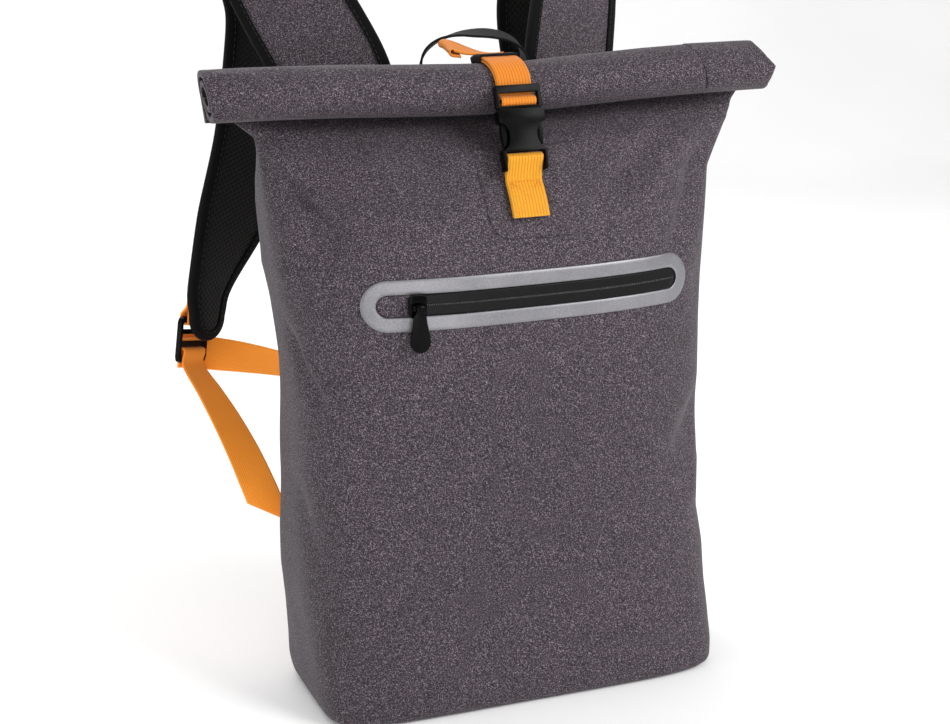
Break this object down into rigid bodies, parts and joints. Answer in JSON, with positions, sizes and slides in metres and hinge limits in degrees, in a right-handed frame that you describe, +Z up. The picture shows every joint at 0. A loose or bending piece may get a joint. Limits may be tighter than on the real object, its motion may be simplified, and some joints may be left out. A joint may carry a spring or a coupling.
{
  "type": "waterproof roll-top backpack",
  "caption": "Tall soft backpack with a flat base, a rolled top held by a webbing strap with a side-release buckle, a front zip pocket, padded shoulder straps and a haul loop.",
  "frame": {"origin": "middle of the flat base, where it stands on a surface", "axes": "+Z up, front panel towards -Y, wearer's back towards +Y, +X to the right in the front view"},
  "size_m": [0.3984, 0.2433, 0.5097],
  "materials": {
    "coated_fabric": "matt coated melange fabric",
    "orange_webbing": "woven, matt",
    "black_plastic": "satin moulded",
    "reflective_film": "silver reflective film",
    "zip_tape": "coated tape",
    "zip_coil": "satin",
    "black_webbing": "woven, matt",
    "black_mesh": "open mesh",
    "black_enamel": "gloss"
  },
  "bodies": {
    "bag": {"body_shell": "coated_fabric", "roll_top": "coated_fabric", "buckle_patch": "coated_fabric", "zip_frame": "reflective_film", "zip_garage": "coated_fabric", "zip_tape": "zip_tape", "zip_coil": "zip_coil", "buckle_male": "black_plastic", "buckle_female": "black_plastic", "tongue": "orange_webbing", "closure_strap": "orange_webbing", "strap_keeper": "black_webbing", "closure_tail": "orange_webbing", "zip_slider": "black_enamel", "strap_yoke": "coated_fabric", "haul_loop": "black_webbing", "strap_pad_left": "coated_fabric", "pad_mesh_left": "black_mesh", "pad_binding_left": "black_webbing", "ladder_lock_left": "black_plastic", "lock_loop_left": "orange_webbing", "lower_webbing_left": "orange_webbing", "webbing_tail_left": "orange_webbing", "anchor_tab_left": "orange_webbing", "strap_pad_right": "coated_fabric", "pad_mesh_right": "black_mesh", "pad_binding_right": "black_webbing", "ladder_lock_right": "black_plastic", "lock_loop_right": "orange_webbing", "lower_webbing_right": "orange_webbing", "webbing_tail_right": "orange_webbing", "anchor_tab_right": "orange_webbing"},
    "puller": {"zip_puller": "black_enamel"}
  },
  "joints": [
    {"name": "puller_hinge", "type": "hinge", "parent": "bag", "child": "puller", "pos_m": [-0.077, -0.07057, 0.289], "axis": [-1, 0, 0], "range_deg": [0, 150]}
  ]
}
